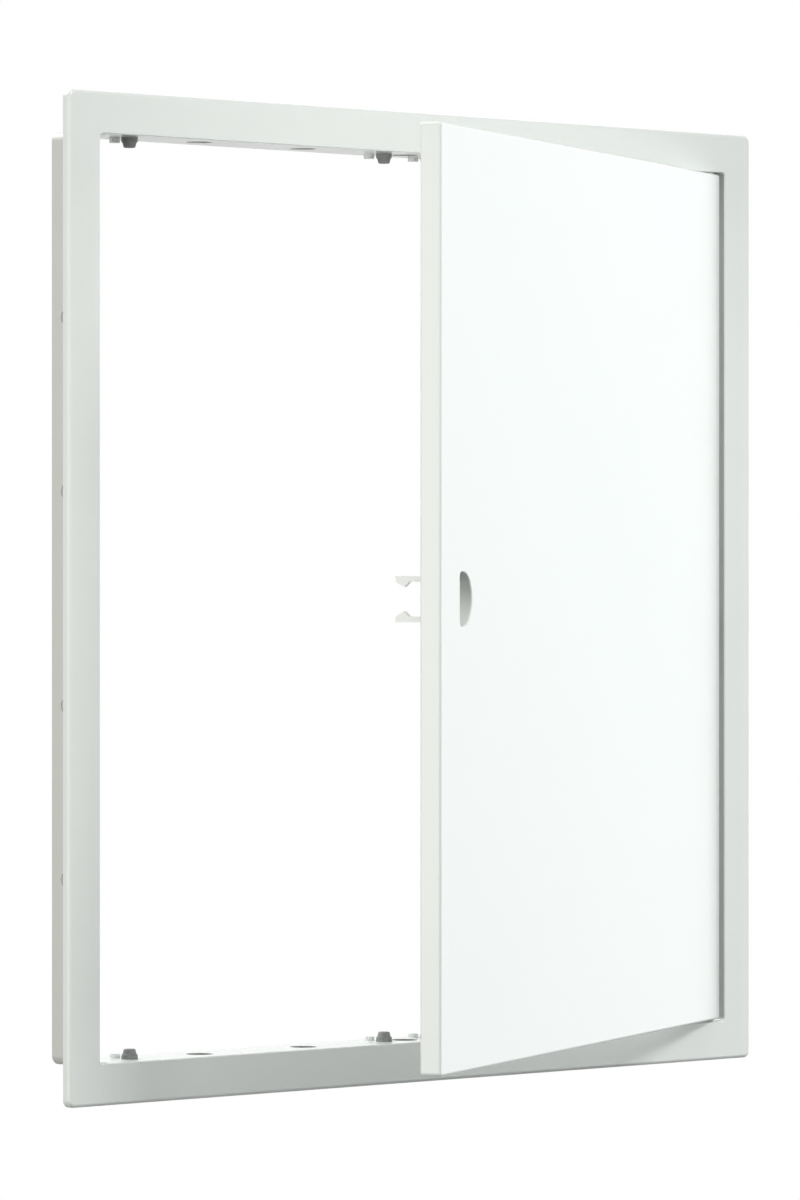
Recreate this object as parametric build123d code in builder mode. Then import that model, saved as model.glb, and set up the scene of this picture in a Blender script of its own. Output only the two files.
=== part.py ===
from build123d import *
from math import cos, radians, sin
import os

# Frame moulding: flange in front of the wall, collar in the wall's cut-out
collar_size = 300.4
collar_wall = 1.2
collar_depth = 18.8
collar_corner_radius = 3.0
opening_corner_radius = 1.2
flange_margin = 12.3
flange_thickness = 3.0
flange_corner_radius = 2.5
flange_edge_radius = 1.2
lip_chamfer = 0.3

# Round holes through the collar's top and bottom walls, drill dimples in its side walls
hole_diameter = 9.0
row_hole_pitch = 47.5
row_hole_depth = 7.9
dimple_diameter = 5.4
dimple_y = 11.8
dimple_inner_spacing = 69.0
dimple_outer_spacing = 181.0

# Door leaf
door_gap = 0.7
door_thickness = 7.0
door_skin = 2.0
door_rim = 1.8
door_corner_radius = 1.2
door_edge_radius = 0.9
pocket_corner_radius = 2.0
open_angle = 25.0
rib_thickness = 1.5
rib_height = 2.6
rib_pitch = 98.0

# Stub pivots at the hinge edge
pivot_diameter = 3.0
pivot_running_clearance = 0.05
pivot_end_clearance = 0.2
pivot_chamfer = 0.3

# D-shaped finger scoop
scoop_inset = 18.0
scoop_radius = 8.5
scoop_centre_offset = 2.9
scoop_corner_radius = 1.5
scoop_depth = 4.5
scoop_draft = 8.0
scoop_wall = 1.2
scoop_edge_chamfer = 0.3

# Latch arms on the door and the catch on the collar
latch_inset = 6.0
latch_width = 2.4
latch_length = 10.2
latch_arm_thickness = 1.8
latch_spacing = 12.6
latch_root_flare = 1.0
barb_height = 1.6
barb_length = 4.5
barb_apex_from_tip = 2.9
catch_clearance = 0.4
catch_engagement = 2.0
catch_head_length = 3.0
catch_neck_thickness = 4.0

# Buffers and the pips behind them
buffer_diameter = 5.5
buffer_tip_diameter = 3.8
buffer_height = 3.3
buffer_side_inset = 22.0
buffer_centre_offset = 10.5
buffer_clearance = 0.3
pip_diameter = 3.6
pip_height = 1.4
pip_pitch = 7.0

# Sizes that follow from those above
flange_size = collar_size + 2 * flange_margin
opening_size = collar_size - 2 * collar_wall
dimple_depth = collar_wall / 2
door_size = opening_size - 2 * door_gap
hinge_radius = door_thickness / 2
pivot_x = door_size / 2 - hinge_radius
pivot_y = hinge_radius - flange_thickness
door_back_y = pivot_y + hinge_radius
free_edge = door_size - hinge_radius
pocket_depth = door_thickness - door_skin
pocket_width = free_edge - door_rim - hinge_radius
pocket_height = door_size - 2 * door_rim
pocket_x = -(free_edge - door_rim + hinge_radius) / 2
scoop_x = scoop_inset - free_edge
latch_outer = latch_spacing / 2 + latch_arm_thickness / 2
latch_inner = latch_spacing / 2 - latch_arm_thickness / 2
pivot_length = door_gap + collar_wall - pivot_end_clearance
catch_half = latch_inner - barb_height - catch_clearance
catch_back_y = door_back_y + latch_length - barb_apex_from_tip - catch_clearance
catch_front_y = catch_back_y - catch_head_length
catch_reach = door_gap + latch_inset + catch_engagement
buffer_y = door_back_y + buffer_clearance + buffer_diameter / 2
buffer_outer_spacing = opening_size - 2 * buffer_side_inset
buffer_inner_spacing = 2 * buffer_centre_offset
pip_y = buffer_y + pip_pitch

# Planes of the leaf, turned open about the hinge axis
turn = radians(open_angle)
leaf_across = (cos(turn), sin(turn), 0)
leaf_front = (sin(turn), -cos(turn), 0)
leaf_rear = (-sin(turn), cos(turn), 0)
across_axis = Axis((0, 0, 0), leaf_across)
front_axis = Axis((0, 0, 0), leaf_front)
leaf_plan = Plane(origin=(pivot_x, pivot_y, 0), x_dir=leaf_across, z_dir=(0, 0, 1))
leaf_mid = Plane(origin=(pivot_x, pivot_y, 0), x_dir=leaf_across, z_dir=leaf_front)
leaf_face = leaf_mid.offset(hinge_radius)
leaf_back = leaf_mid.offset(-hinge_radius)
leaf_floor = leaf_face.offset(-door_skin)
latch_plane = Plane(
    origin=leaf_back.from_local_coords((latch_inset - free_edge, 0, 0)),
    x_dir=leaf_rear,
    z_dir=leaf_across,
)

os.makedirs("parts", exist_ok=True)

# Frame: flange and collar in one moulding
with BuildPart() as frame:
    with BuildSketch(Plane.XZ):
        RectangleRounded(flange_size, flange_size, flange_corner_radius)
        RectangleRounded(opening_size, opening_size, opening_corner_radius, mode=Mode.SUBTRACT)
    extrude(amount=flange_thickness)
    fillet(frame.faces().sort_by(Axis.Y)[0].outer_wire().edges(), radius=flange_edge_radius)
    chamfer(frame.faces().sort_by(Axis.Y)[0].inner_wires()[0].edges(), length=lip_chamfer)
    with BuildSketch(Plane.XZ):
        RectangleRounded(collar_size, collar_size, collar_corner_radius)
        RectangleRounded(opening_size, opening_size, opening_corner_radius, mode=Mode.SUBTRACT)
    extrude(amount=-collar_depth)
    # Catch on each side wall: an arrow-headed lug between the latch barbs
    for side in (-1, 1):
        with BuildSketch(Plane.YZ.offset(side * opening_size / 2)):
            with BuildLine():
                Polyline(
                    (catch_front_y, -catch_half / 2),
                    (catch_front_y, catch_half / 2),
                    (catch_front_y + catch_head_length / 2, catch_half),
                    (catch_back_y, catch_half),
                    (catch_back_y, catch_neck_thickness / 2),
                    (collar_depth, catch_neck_thickness / 2),
                    (collar_depth, -catch_neck_thickness / 2),
                    (catch_back_y, -catch_neck_thickness / 2),
                    (catch_back_y, -catch_half),
                    (catch_front_y + catch_head_length / 2, -catch_half),
                    close=True,
                )
            make_face()
        extrude(amount=-side * catch_reach)
    # Pips on the top and bottom walls, one behind each buffer
    for level in (-1, 1):
        with BuildSketch(Plane.XY.offset(level * opening_size / 2)):
            with Locations((0, pip_y)):
                with GridLocations(buffer_outer_spacing, 1, 2, 1):
                    Circle(pip_diameter / 2)
                with GridLocations(buffer_inner_spacing, 1, 2, 1):
                    Circle(pip_diameter / 2)
        extrude(amount=-level * pip_height)
    # Rows of holes in the top and bottom walls
    with BuildSketch(Plane.XY):
        with Locations((0, row_hole_depth)):
            with GridLocations(row_hole_pitch, 1, 5, 1):
                Circle(hole_diameter / 2)
    extrude(amount=collar_size / 2, both=True, mode=Mode.SUBTRACT)
    # Pairs of drill dimples in the outer faces of the side walls
    for side in (-1, 1):
        with BuildSketch(Plane.YZ.offset(side * collar_size / 2)):
            with Locations((dimple_y, 0)):
                with GridLocations(1, dimple_inner_spacing, 1, 2):
                    Circle(dimple_diameter / 2)
                with GridLocations(1, dimple_outer_spacing, 1, 2):
                    Circle(dimple_diameter / 2)
        extrude(amount=-side * dimple_depth, mode=Mode.SUBTRACT)
    # Pivot holes at both sides, so that the door can hang on either
    with BuildSketch(Plane.XY):
        with Locations((0, pivot_y)):
            with GridLocations(2 * pivot_x, 1, 2, 1):
                Circle(pivot_diameter / 2 + pivot_running_clearance)
    extrude(amount=collar_size / 2, both=True, mode=Mode.SUBTRACT)
frame.part.label = "frame"
export_step(frame.part, "parts/frame.step")

# Outline of the scoop: a circle cut straight on the side of the door's free edge
with BuildSketch() as scoop_outline:
    with Locations((scoop_x + scoop_centre_offset, 0)):
        Circle(scoop_radius)
    with Locations((scoop_x, 0)):
        Rectangle(2 * scoop_radius, 2 * scoop_radius, align=(Align.MIN, Align.CENTER), mode=Mode.INTERSECT)
    fillet(scoop_outline.vertices(), radius=scoop_corner_radius)

# Core that moulds the scoop, with draft so that it draws out of the face
with BuildPart() as scoop_core:
    with BuildSketch(leaf_face):
        add(scoop_outline.sketch)
    extrude(amount=-scoop_depth, taper=scoop_draft)

# Door: a shallow tray with a rounded hinge edge, latch arms and stub pivots
with BuildPart() as door:
    with BuildSketch(leaf_plan):
        with Locations((-free_edge / 2, 0)):
            Rectangle(free_edge, door_thickness)
        Circle(hinge_radius)
    extrude(amount=door_size / 2, both=True)
    free_face = door.faces().sort_by(across_axis)[0]
    fillet(free_face.edges().filter_by(front_axis), radius=door_corner_radius)
    face_edges = door.faces().sort_by(front_axis)[-1].edges()
    fillet(face_edges.sort_by(across_axis)[:-1], radius=door_edge_radius)
    # Hollow back, with a solid strip left along the hinge edge
    with BuildSketch(leaf_back):
        with Locations((pocket_x, 0)):
            RectangleRounded(pocket_width, pocket_height, pocket_corner_radius)
    extrude(amount=pocket_depth, mode=Mode.SUBTRACT)
    # Stiffening ribs and the pad that closes the scoop, on the back of the skin
    with BuildSketch(leaf_floor):
        with Locations((pocket_x, 0)):
            with GridLocations(rib_pitch, 1, 2, 1):
                Rectangle(rib_thickness, pocket_height)
            with GridLocations(1, rib_pitch, 1, 2):
                Rectangle(pocket_width, rib_thickness)
    extrude(amount=-rib_height)
    with BuildSketch(leaf_floor):
        add(scoop_outline.sketch)
        offset(amount=scoop_wall)
    extrude(amount=-(scoop_depth + scoop_wall - door_skin))
    # Finger scoop sunk in the face, its rim bevelled
    add(scoop_core.part, mode=Mode.SUBTRACT)
    scoop_rim = door.faces().sort_by(front_axis)[-1].inner_wires()[0]
    chamfer(scoop_rim.edges(), length=scoop_edge_chamfer)
    # Two latch arms with barbs that face each other
    for side in (-1, 1):
        with BuildSketch(latch_plane):
            with BuildLine():
                Polyline(
                    (-pocket_depth, side * (latch_outer + latch_root_flare)),
                    (latch_root_flare - pocket_depth, side * latch_outer),
                    (latch_length, side * latch_outer),
                    (latch_length, side * latch_inner),
                    (latch_length - barb_apex_from_tip, side * (latch_inner - barb_height)),
                    (latch_length - barb_length, side * latch_inner),
                    (latch_root_flare - pocket_depth, side * latch_inner),
                    (-pocket_depth, side * (latch_inner - latch_root_flare)),
                    close=True,
                )
            make_face()
        extrude(amount=latch_width)
    # Stub pivots at the two ends of the hinge edge
    for level in (-1, 1):
        with BuildSketch(Plane.XY.offset(level * door_size / 2)):
            with Locations((pivot_x, pivot_y)):
                Circle(pivot_diameter / 2)
        extrude(amount=level * pivot_length)
    pivot_ends = door.faces().filter_by(Plane.XY)
    chamfer(pivot_ends.sort_by(Axis.Z)[0].edges(), length=pivot_chamfer)
    chamfer(door.faces().filter_by(Plane.XY).sort_by(Axis.Z)[-1].edges(), length=pivot_chamfer)
door.part.label = "door"
export_step(door.part, "parts/door.step")

# Buffers: tapered rubber nubs on the top and bottom walls, just behind the closed door
buffer_places = (
    -buffer_outer_spacing / 2,
    -buffer_inner_spacing / 2,
    buffer_inner_spacing / 2,
    buffer_outer_spacing / 2,
)
for wall, level in (("top", 1), ("bottom", -1)):
    for number, place in enumerate(buffer_places, start=1):
        seat = Plane(
            origin=(place, buffer_y, level * opening_size / 2),
            x_dir=(1, 0, 0),
            z_dir=(0, level, 0),
        )
        with BuildPart() as buffer:
            with BuildSketch(seat):
                with BuildLine():
                    Polyline(
                        (0, 0),
                        (buffer_diameter / 2, 0),
                        (buffer_tip_diameter / 2, buffer_height),
                        (0, buffer_height),
                        close=True,
                    )
                make_face()
            revolve(axis=Axis(seat.origin, seat.y_dir))
        buffer.part.label = f"{wall}_buffer_{number}"
        export_step(buffer.part, f"parts/{wall}_buffer_{number}.step")
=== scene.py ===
from math import cos, pi, radians, sin

import bmesh
import bpy
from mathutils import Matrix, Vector


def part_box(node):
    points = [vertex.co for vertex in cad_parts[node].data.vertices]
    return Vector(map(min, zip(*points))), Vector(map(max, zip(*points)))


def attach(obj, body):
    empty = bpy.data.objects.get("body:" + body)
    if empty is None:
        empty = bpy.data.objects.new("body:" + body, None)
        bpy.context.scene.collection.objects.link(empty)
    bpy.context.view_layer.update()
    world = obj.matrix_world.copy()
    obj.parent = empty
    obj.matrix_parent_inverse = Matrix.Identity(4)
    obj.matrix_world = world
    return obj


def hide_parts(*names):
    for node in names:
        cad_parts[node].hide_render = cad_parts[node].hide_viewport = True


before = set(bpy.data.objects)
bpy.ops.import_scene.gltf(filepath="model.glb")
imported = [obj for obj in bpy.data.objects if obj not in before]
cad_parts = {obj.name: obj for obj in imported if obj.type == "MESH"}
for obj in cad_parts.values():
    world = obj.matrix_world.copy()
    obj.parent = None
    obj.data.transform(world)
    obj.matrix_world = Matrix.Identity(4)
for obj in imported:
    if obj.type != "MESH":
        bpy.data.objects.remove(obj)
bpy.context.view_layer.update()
scene = bpy.context.scene
scene.view_settings.view_transform = "Standard"


# Frame: a square flange and a thin collar, one moulding in white ABS set in the wall's cut-out.
# The mould was polished, so the skin is glossy, with a faint orange peel and no grain.
# The collar's outside, the inside of its side walls and its row holes are matt and darkened with
# painted shade.
def make_plain(piece):
    """The piece's modifiers applied, so that it is a plain mesh."""
    evaluated = piece.evaluated_get(bpy.context.evaluated_depsgraph_get())
    mesh = bpy.data.meshes.new_from_object(evaluated)
    piece.modifiers.clear()
    piece.data = mesh


def moulded_skin(node_name, piece_name):
    """Copy of a CAD node with its facets joined, round edges smooth and flat faces flat."""
    piece = bpy.data.objects.new(piece_name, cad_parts[node_name].data.copy())
    scene.collection.objects.link(piece)
    piece.data.attributes.remove(piece.data.attributes["custom_normal"])
    shape = bmesh.new()
    shape.from_mesh(piece.data)
    bmesh.ops.remove_doubles(shape, verts=shape.verts, dist=weld_distance)
    for face in shape.faces:
        face.smooth = True
    shape.to_mesh(piece.data)
    shape.free()
    piece.data.set_sharp_from_angle(angle=radians(crease_angle))
    even = piece.modifiers.new("even_normals", "WEIGHTED_NORMAL")
    even.mode = "FACE_AREA"
    even.weight = 100
    even.keep_sharp = True
    make_plain(piece)
    return piece


def white_abs(name, clear_white, milky_white, gloss, haze):
    """Glossy white ABS: two close whites drifting into each other, uneven polish, orange peel."""
    plastic = bpy.data.materials.new(name)
    plastic.use_nodes = True
    nodes, links = plastic.node_tree.nodes, plastic.node_tree.links
    surface = nodes["Principled BSDF"]
    surface.inputs["IOR"].default_value = abs_ior
    place = nodes.new("ShaderNodeTexCoord")

    drift = nodes.new("ShaderNodeTexNoise")
    drift.inputs["Scale"].default_value = drift_scale
    drift.inputs["Detail"].default_value = 2
    whites = nodes.new("ShaderNodeMix")
    whites.data_type = "RGBA"
    whites.inputs["A"].default_value = (*clear_white, 1)
    whites.inputs["B"].default_value = (*milky_white, 1)
    links.new(place.outputs["Object"], drift.inputs["Vector"])
    links.new(drift.outputs["Fac"], whites.inputs["Factor"])
    links.new(whites.outputs["Result"], surface.inputs["Base Color"])

    polish = nodes.new("ShaderNodeTexNoise")
    polish.inputs["Scale"].default_value = polish_scale
    polish.inputs["Detail"].default_value = 4
    roughness = nodes.new("ShaderNodeMapRange")
    roughness.inputs["To Min"].default_value = gloss
    roughness.inputs["To Max"].default_value = haze
    links.new(place.outputs["Object"], polish.inputs["Vector"])
    links.new(polish.outputs["Fac"], roughness.inputs["Value"])
    links.new(roughness.outputs["Result"], surface.inputs["Roughness"])

    peel = nodes.new("ShaderNodeTexNoise")
    peel.inputs["Scale"].default_value = peel_scale
    peel.inputs["Detail"].default_value = 1
    relief = nodes.new("ShaderNodeBump")
    relief.inputs["Strength"].default_value = peel_strength
    relief.inputs["Distance"].default_value = peel_height
    links.new(place.outputs["Object"], peel.inputs["Vector"])
    links.new(peel.outputs["Fac"], relief.inputs["Height"])
    links.new(relief.outputs["Normal"], surface.inputs["Normal"])
    return plastic


def paint_shade(plastic, tests, shade_white, dull_sheen, seat=(0, 0, 0), turn=0):
    """Painted shade: a matt, darker patch of skin where every test holds as seen from the seat.
    """
    nodes, links = plastic.node_tree.nodes, plastic.node_tree.links
    place = nodes.new("ShaderNodeTexCoord")
    local = nodes.new("ShaderNodeMapping")
    local.vector_type = "TEXTURE"
    local.inputs["Location"].default_value = seat
    local.inputs["Rotation"].default_value = (0, 0, turn)
    axes = nodes.new("ShaderNodeSeparateXYZ")
    links.new(place.outputs["Object"], local.inputs["Vector"])
    links.new(local.outputs["Vector"], axes.inputs["Vector"])

    def reckon(operation, *values):
        step = nodes.new("ShaderNodeMath")
        step.operation = operation
        for socket, value in zip(step.inputs, values):
            if isinstance(value, float):
                socket.default_value = value
            else:
                links.new(value, socket)
        return step.outputs["Value"]

    x, y, z = axes.outputs["X"], axes.outputs["Y"], axes.outputs["Z"]
    across, upright = reckon("ABSOLUTE", x), reckon("ABSOLUTE", z)
    squares = reckon("ADD", reckon("MULTIPLY", x, x), reckon("MULTIPLY", z, z))
    measures = {
        "x": x,
        "y": y,
        "across": across,
        "upright": upright,
        "reach": reckon("MAXIMUM", across, upright),
        "radius": reckon("SQRT", squares),
    }
    patch, *others = [
        reckon(comparison, measures[measure], limit) for measure, comparison, limit in tests
    ]
    for other in others:
        patch = reckon("MULTIPLY", patch, other)
    surface = nodes["Principled BSDF"]
    for name, kind, shade_or_roughness in (
        ("Base Color", "RGBA", shade_white),
        ("Roughness", "FLOAT", dull_sheen),
    ):
        blend = nodes.new("ShaderNodeMix")
        blend.data_type = kind
        blend.inputs["B"].default_value = shade_or_roughness
        links.new(patch, blend.inputs["Factor"])
        links.new(surface.inputs[name].links[0].from_socket, blend.inputs["A"])
        links.new(blend.outputs["Result"], surface.inputs[name])


weld_distance = 1e-6
crease_angle = 40
abs_ior = 1.53
drift_scale = 9
polish_scale = 35
peel_scale = 480
peel_strength = 0.12
peel_height = 0.0001
collar_inside = 0.14905
collar_outside = 0.15015
collar_corner = 0.147
collar_back = 0.0187
flange_back = 0.00005
side_wall_from, side_wall_to = 0.1488, 0.1491
side_wall_front = -0.0026
# painted shade: the collar's outside and its side walls' inner faces are darkened for the shade
# behind the flange and in the hinge gap
painted_shade_white = (0.62, 0.625, 0.602, 1)
matt_sheen = 0.5
# painted shade: the row holes' walls are darkened for the shade inside the holes
hole_painted_shade = (0.36, 0.37, 0.36, 1)
cut_sheen = 0.7

above, below = "GREATER_THAN", "LESS_THAN"
collar_outer_faces = (("reach", above, collar_inside), ("y", above, flange_back))
side_wall_inner_faces = (
    ("across", above, side_wall_from),
    ("across", below, side_wall_to),
    ("upright", below, side_wall_to),
    ("y", above, side_wall_front),
)
row_hole_walls = (
    ("across", below, collar_corner),
    ("upright", above, collar_inside),
    ("upright", below, collar_outside),
    ("y", above, flange_back),
    ("y", below, collar_back),
)

frame_moulding = moulded_skin("frame", "frame_moulding")
frame_abs = white_abs(
    "frame_abs",
    clear_white=(0.865, 0.885, 0.87),
    milky_white=(0.845, 0.868, 0.853),
    gloss=0.17,
    haze=0.25,
)
# painted shade on the collar's outside, its side walls' inner faces and its row holes
for faces, shade_white, dull_sheen in (
    (collar_outer_faces, painted_shade_white, matt_sheen),
    (side_wall_inner_faces, painted_shade_white, matt_sheen),
    (row_hole_walls, hole_painted_shade, cut_sheen),
):
    paint_shade(frame_abs, faces, shade_white, dull_sheen)
frame_moulding.data.materials.clear()
frame_moulding.data.materials.append(frame_abs)
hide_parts("frame")
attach(frame_moulding, "frame_body")


# Door: a shallow ABS tray with its ribs, finger scoop, latch arms and stub pivots moulded in one.
# Same resin as the frame, a shade brighter on the polished face; the scoop is matt and darkened
# with painted shade.
# The pivots snap into the collar's holes, so the leaf swings on its right-hand edge.
door_leaf = moulded_skin("door", "door_leaf")
door_abs = white_abs(
    "door_abs",
    clear_white=(0.885, 0.905, 0.892),
    milky_white=(0.868, 0.89, 0.876),
    gloss=0.15,
    haze=0.23,
)
# painted shade: the scoop's walls are darkened for the shade in the recess
scoop_painted_shade = (0.69, 0.7, 0.68, 1)
leaf_turn = radians(25)
hinge_line = Vector((0.1448, 0.0005, 0))
scoop_across, scoop_front = -0.2722, 0.0035
scoop_radius, scoop_flat_side = 0.0091, -0.0035
scoop_rim, scoop_floor = 0.0004, 0.0047
scoop_seat = hinge_line + Vector((
    scoop_across * cos(leaf_turn) + scoop_front * sin(leaf_turn),
    scoop_across * sin(leaf_turn) - scoop_front * cos(leaf_turn),
    0,
))
scoop_walls = (
    ("radius", below, scoop_radius),
    ("x", above, scoop_flat_side),
    ("y", above, scoop_rim),
    ("y", below, scoop_floor),
)
paint_shade(door_abs, scoop_walls, scoop_painted_shade, matt_sheen, scoop_seat, leaf_turn)
door_leaf.data.materials.clear()
door_leaf.data.materials.append(door_abs)
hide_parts("door")
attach(door_leaf, "door_body")


# Buffers: eight two-tier nubs of dark grey rubber, four on the top wall and four on the bottom.
# Each is pressed onto the collar wall just behind the shut door, so that the leaf lands softly.
# All come from one mould, so one node tree turns the nub and sets it at every seat.
buffer_names = [
    f"{wall}_buffer_{number}" for wall in ("top", "bottom") for number in (1, 2, 3, 4)
]
buffer_low, buffer_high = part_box(buffer_names[0])
buffer_width = buffer_high[0] - buffer_low[0]
buffer_height = buffer_high[2] - buffer_low[2]
buffer_rings = 56
buffer_sides = 40
rubber_ior = 1.52
clean_grey = (0.19, 0.198, 0.192, 1)
dusty_grey = (0.28, 0.288, 0.282, 1)
clean_sheen, dusty_sheen = 0.5, 0.72
bloom_scale = 650
pore_scale = 2600
pore_strength = 0.25
pore_depth = 0.00005
# share of the height, share of the base radius, how the curve bends there
nub_profile = (
    (0.0, 1.0, "VECTOR"),
    (0.40, 0.957, "VECTOR"),
    (0.45, 0.942, "AUTO"),
    (0.48, 0.90, "AUTO"),
    (0.49, 0.836, "VECTOR"),
    (0.88, 0.712, "VECTOR"),
    (0.95, 0.68, "AUTO"),
    (0.985, 0.62, "AUTO"),
    (1.0, 0.52, "VECTOR"),
)

rubber = bpy.data.materials.new("buffer_rubber_black")
rubber.use_nodes = True
nodes, links = rubber.node_tree.nodes, rubber.node_tree.links
surface = nodes["Principled BSDF"]
surface.inputs["IOR"].default_value = rubber_ior
place = nodes.new("ShaderNodeTexCoord")
bloom = nodes.new("ShaderNodeTexNoise")
bloom.inputs["Scale"].default_value = bloom_scale
bloom.inputs["Detail"].default_value = 4
dust = nodes.new("ShaderNodeMix")
dust.data_type = "RGBA"
dust.inputs["A"].default_value = clean_grey
dust.inputs["B"].default_value = dusty_grey
matt = nodes.new("ShaderNodeMapRange")
matt.inputs["To Min"].default_value = clean_sheen
matt.inputs["To Max"].default_value = dusty_sheen
pores = nodes.new("ShaderNodeTexNoise")
pores.inputs["Scale"].default_value = pore_scale
pores.inputs["Detail"].default_value = 2
relief = nodes.new("ShaderNodeBump")
relief.inputs["Strength"].default_value = pore_strength
relief.inputs["Distance"].default_value = pore_depth
links.new(place.outputs["Object"], bloom.inputs["Vector"])
links.new(place.outputs["Object"], pores.inputs["Vector"])
links.new(bloom.outputs["Fac"], dust.inputs["Factor"])
links.new(dust.outputs["Result"], surface.inputs["Base Color"])
links.new(bloom.outputs["Fac"], matt.inputs["Value"])
links.new(matt.outputs["Result"], surface.inputs["Roughness"])
links.new(pores.outputs["Fac"], relief.inputs["Height"])
links.new(relief.outputs["Normal"], surface.inputs["Normal"])

press = bpy.data.node_groups.new("press_buffers", "GeometryNodeTree")
press.interface.new_socket("Seats", in_out="INPUT", socket_type="NodeSocketGeometry")
sockets = {}
for label, kind in (
    ("Height", "NodeSocketFloat"),
    ("Base Radius", "NodeSocketFloat"),
    ("Rings", "NodeSocketInt"),
    ("Sides", "NodeSocketInt"),
    ("Rubber", "NodeSocketMaterial"),
):
    socket = press.interface.new_socket(label, in_out="INPUT", socket_type=kind)
    sockets[label] = socket.identifier
press.interface.new_socket("Buffers", in_out="OUTPUT", socket_type="NodeSocketGeometry")
nodes, links = press.nodes, press.links
given = nodes.new("NodeGroupInput")
result = nodes.new("NodeGroupOutput")

reach = nodes.new("ShaderNodeCombineXYZ")
axis_line = nodes.new("GeometryNodeCurvePrimitiveLine")
rings = nodes.new("GeometryNodeResampleCurve")
along = nodes.new("GeometryNodeSplineParameter")
profile = nodes.new("ShaderNodeFloatCurve")
curve = profile.mapping.curves[0]
curve.points[0].location = nub_profile[0][:2]
curve.points[1].location = nub_profile[-1][:2]
for height, share, _ in nub_profile[1:-1]:
    curve.points.new(height, share)
for point, (_, _, bend) in zip(curve.points, nub_profile):
    point.handle_type = bend
profile.mapping.update()
radius = nodes.new("ShaderNodeMath")
radius.operation = "MULTIPLY"
circle = nodes.new("GeometryNodeCurvePrimitiveCircle")
circle.inputs["Radius"].default_value = 1
lathe = nodes.new("GeometryNodeCurveToMesh")
lathe.inputs["Fill Caps"].default_value = True
links.new(given.outputs["Height"], reach.inputs["Z"])
links.new(reach.outputs["Vector"], axis_line.inputs["End"])
links.new(axis_line.outputs["Curve"], rings.inputs["Curve"])
links.new(given.outputs["Rings"], rings.inputs["Count"])
links.new(along.outputs["Factor"], profile.inputs["Value"])
links.new(profile.outputs["Value"], radius.inputs[0])
links.new(given.outputs["Base Radius"], radius.inputs[1])
links.new(given.outputs["Sides"], circle.inputs["Resolution"])
links.new(rings.outputs["Curve"], lathe.inputs["Curve"])
links.new(circle.outputs["Curve"], lathe.inputs["Profile Curve"])
links.new(radius.outputs["Value"], lathe.inputs["Scale"])

where = nodes.new("GeometryNodeInputPosition")
split = nodes.new("ShaderNodeSeparateXYZ")
on_top = nodes.new("FunctionNodeCompare")
on_top.operation = "GREATER_THAN"
turn = nodes.new("GeometryNodeSwitch")
turn.input_type = "VECTOR"
turn.inputs["True"].default_value = (pi, 0, 0)
set_down = nodes.new("GeometryNodeInstanceOnPoints")
made_real = nodes.new("GeometryNodeRealizeInstances")
painted = nodes.new("GeometryNodeSetMaterial")
links.new(where.outputs["Position"], split.inputs["Vector"])
links.new(split.outputs["Z"], on_top.inputs["A"])
links.new(on_top.outputs["Result"], turn.inputs["Switch"])
links.new(given.outputs["Seats"], set_down.inputs["Points"])
links.new(lathe.outputs["Mesh"], set_down.inputs["Instance"])
links.new(turn.outputs["Output"], set_down.inputs["Rotation"])
links.new(set_down.outputs["Instances"], made_real.inputs["Geometry"])
links.new(made_real.outputs["Geometry"], painted.inputs["Geometry"])
links.new(given.outputs["Rubber"], painted.inputs["Material"])
links.new(painted.outputs["Geometry"], result.inputs["Buffers"])

seats = []
for name in buffer_names:
    low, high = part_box(name)
    wall_z = high[2] if high[2] > 0 else low[2]
    seats.append(((low[0] + high[0]) / 2, (low[1] + high[1]) / 2, wall_z))
seat_mesh = bpy.data.meshes.new("buffer_seats")
seat_mesh.from_pydata(seats, [], [])
buffers = bpy.data.objects.new("rubber_buffers", seat_mesh)
scene.collection.objects.link(buffers)
pressed = buffers.modifiers.new("press_buffers", "NODES")
pressed.node_group = press
pressed[sockets["Height"]] = buffer_height
pressed[sockets["Base Radius"]] = buffer_width / 2
pressed[sockets["Rings"]] = buffer_rings
pressed[sockets["Sides"]] = buffer_sides
pressed[sockets["Rubber"]] = rubber
make_plain(buffers)
for face in buffers.data.polygons:
    face.use_smooth = True
buffers.data.set_sharp_from_angle(angle=radians(crease_angle))
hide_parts(*buffer_names)
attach(buffers, "frame_body")


# Studio: a pale round floor well below the panel, a white surround and soft boxes.
# Lamps stand by azimuth from the front, positive to the right, and by height above the horizon.
floor_level = -0.36
floor_radius = 1.3
floor_sides = 128
floor_white = (0.86, 0.86, 0.86, 1)
floor_sheen = 0.9
floor_shape = bmesh.new()
bmesh.ops.create_circle(
    floor_shape, cap_ends=True, segments=floor_sides, radius=floor_radius
)
bmesh.ops.translate(floor_shape, verts=floor_shape.verts, vec=(0, 0, floor_level))
floor_mesh = bpy.data.meshes.new("floor")
floor_shape.to_mesh(floor_mesh)
floor_shape.free()
floor = bpy.data.objects.new("floor", floor_mesh)
scene.collection.objects.link(floor)
floor.visible_diffuse = False
floor_paint = bpy.data.materials.new("floor_paint")
floor_paint.use_nodes = True
paint = floor_paint.node_tree.nodes["Principled BSDF"]
paint.inputs["Base Color"].default_value = floor_white
paint.inputs["Roughness"].default_value = floor_sheen
floor_mesh.materials.append(floor_paint)

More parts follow.
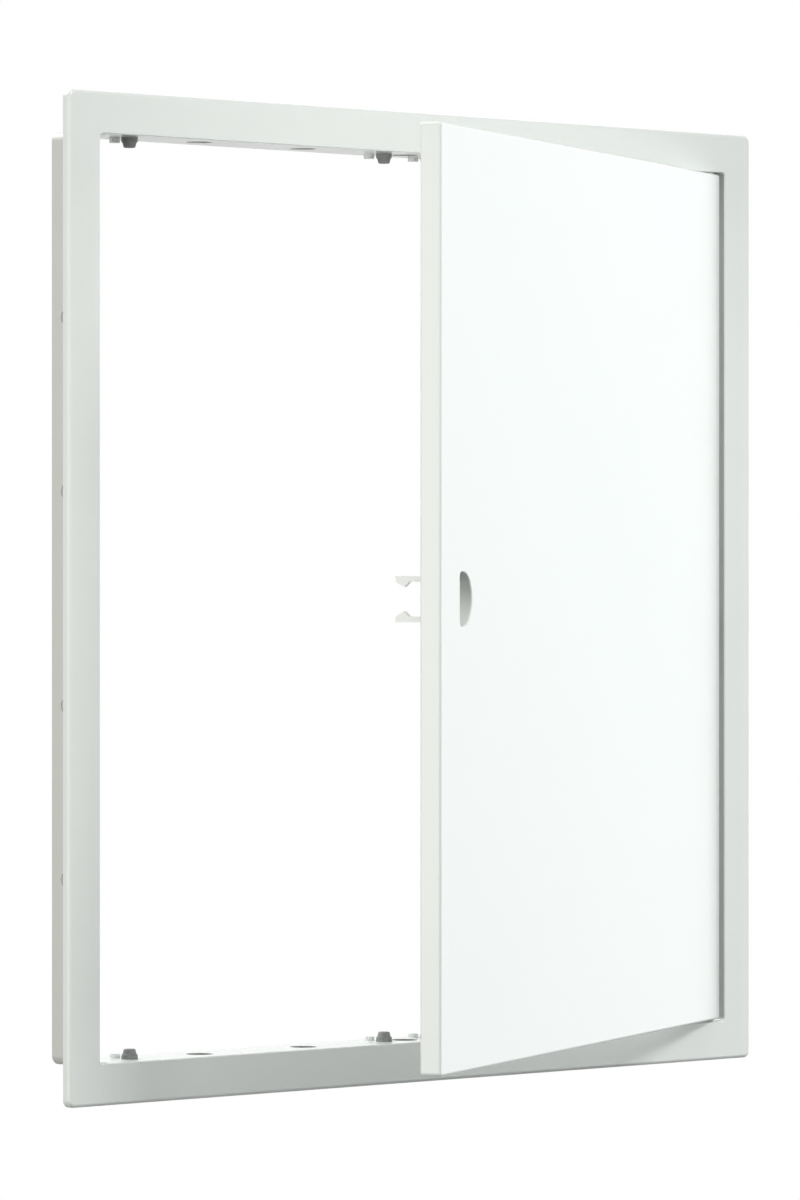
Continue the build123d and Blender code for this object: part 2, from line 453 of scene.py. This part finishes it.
ambient_tint = (0.97, 1.0, 0.985, 1)
ambient_strength = 0.08
world = bpy.data.worlds.new("studio")
scene.world = world
world.use_nodes = True
nodes, links = world.node_tree.nodes, world.node_tree.links
ambient = nodes["Background"]
ambient.inputs["Color"].default_value = ambient_tint
ambient.inputs["Strength"].default_value = ambient_strength
white = nodes.new("ShaderNodeBackground")
white.inputs["Color"].default_value = (1, 1, 1, 1)
white.inputs["Strength"].default_value = 1.0
ray = nodes.new("ShaderNodeLightPath")
seen_or_mirrored = nodes.new("ShaderNodeMath")
seen_or_mirrored.operation = "MAXIMUM"
or_through = nodes.new("ShaderNodeMath")
or_through.operation = "MAXIMUM"
choose = nodes.new("ShaderNodeMixShader")
links.new(ray.outputs["Is Camera Ray"], seen_or_mirrored.inputs[0])
links.new(ray.outputs["Is Glossy Ray"], seen_or_mirrored.inputs[1])
links.new(seen_or_mirrored.outputs["Value"], or_through.inputs[0])
links.new(ray.outputs["Is Transmission Ray"], or_through.inputs[1])
links.new(or_through.outputs["Value"], choose.inputs["Fac"])
links.new(ambient.outputs["Background"], choose.inputs[1])
links.new(white.outputs["Background"], choose.inputs[2])
links.new(choose.outputs["Shader"], nodes["World Output"].inputs["Surface"])

for name, azimuth, height, distance, wide, tall, watts, tint in (
    ("key_box", 8, 34, 3.0, 0.68, 0.68, 32, (0.985, 1.0, 0.98)),
    ("top_box", 0, 68, 1.8, 0.6, 0.6, 5, (0.98, 1.0, 0.98)),
    ("front_left_fill", -28, 15, 1.7, 0.9, 0.9, 5.6, (0.97, 1.0, 0.97)),
    ("left_fill", -92, 0, 1.7, 1.8, 0.7, 15.5, (0.99, 0.99, 0.93)),
    ("right_fill", 95, 0, 1.7, 1.4, 1.4, 8.2, (0.94, 1.0, 1.0)),
    ("low_right_fill", 60, -4, 1.7, 0.7, 0.7, 4.5, (0.96, 1.0, 0.98)),
    ("back_box", -165, 45, 1.7, 0.9, 0.9, 27, (0.99, 1.0, 1.0)),
):
    lamp = bpy.data.lights.new(name, "AREA")
    lamp.shape = "RECTANGLE"
    lamp.size = wide
    lamp.size_y = tall
    lamp.energy = watts
    lamp.color = tint
    stand = bpy.data.objects.new(name, lamp)
    turned, raised = radians(azimuth), radians(height)
    stand.location = distance * Vector((
        sin(turned) * cos(raised),
        -cos(turned) * cos(raised),
        sin(raised),
    ))
    stand.rotation_euler = (-stand.location).to_track_quat("-Z", "Y").to_euler()
    scene.collection.objects.link(stand)


# Camera: a long lens from the left of the panel, level with its middle.
# The place and aim put the flange's corners where the photograph has them.
view_dip = 0.1778
view_turn = -45.193
view = bpy.data.cameras.new("view")
view.lens = 201.9
view.sensor_width = 36
camera = bpy.data.objects.new("view", view)
camera.location = (-1.60963, -1.58893, 0.00625)
camera.rotation_euler = (radians(90 - view_dip), 0, radians(view_turn))
scene.collection.objects.link(camera)
scene.camera = camera
